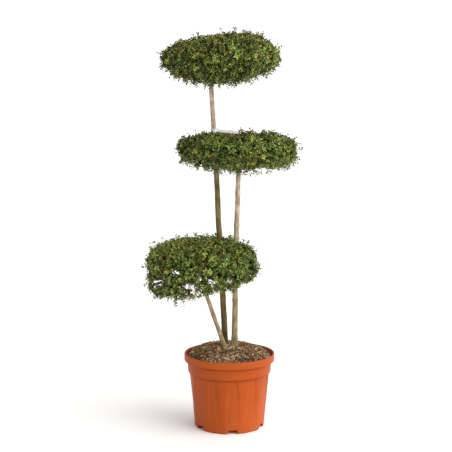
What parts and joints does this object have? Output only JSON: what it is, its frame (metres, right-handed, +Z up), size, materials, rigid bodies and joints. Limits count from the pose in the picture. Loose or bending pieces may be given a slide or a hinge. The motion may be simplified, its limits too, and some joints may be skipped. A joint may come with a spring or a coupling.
{
  "type": "potted privet cloud topiary",
  "caption": "Cloud-pruned privet shrub: slender bare stems rise from a ribbed terracotta-coloured pot, each ending in a flat, clipped cloud of small leaves.",
  "frame": {"origin": "middle of the pot's flat underside, at ground level", "axes": "+Z up along the pot's axis, -Y towards the viewer of the picture, +X to the viewer's right"},
  "size_m": [0.5794, 0.4357, 1.473],
  "materials": {
    "pot": "satin",
    "soil": "rough",
    "tall_stem": "rough",
    "right_stem": "rough",
    "leaning_stem": "rough",
    "top_cloud": "satin",
    "middle_cloud": "satin",
    "lower_cloud": "satin",
    "stem_tag": "satin"
  },
  "bodies": {
    "root": {"pot": "pot", "soil": "soil", "tall_stem": "tall_stem", "right_stem": "right_stem", "leaning_stem": "leaning_stem", "top_cloud": "top_cloud", "middle_cloud": "middle_cloud", "lower_cloud": "lower_cloud", "stem_tag": "stem_tag"}
  },
  "joints": []
}
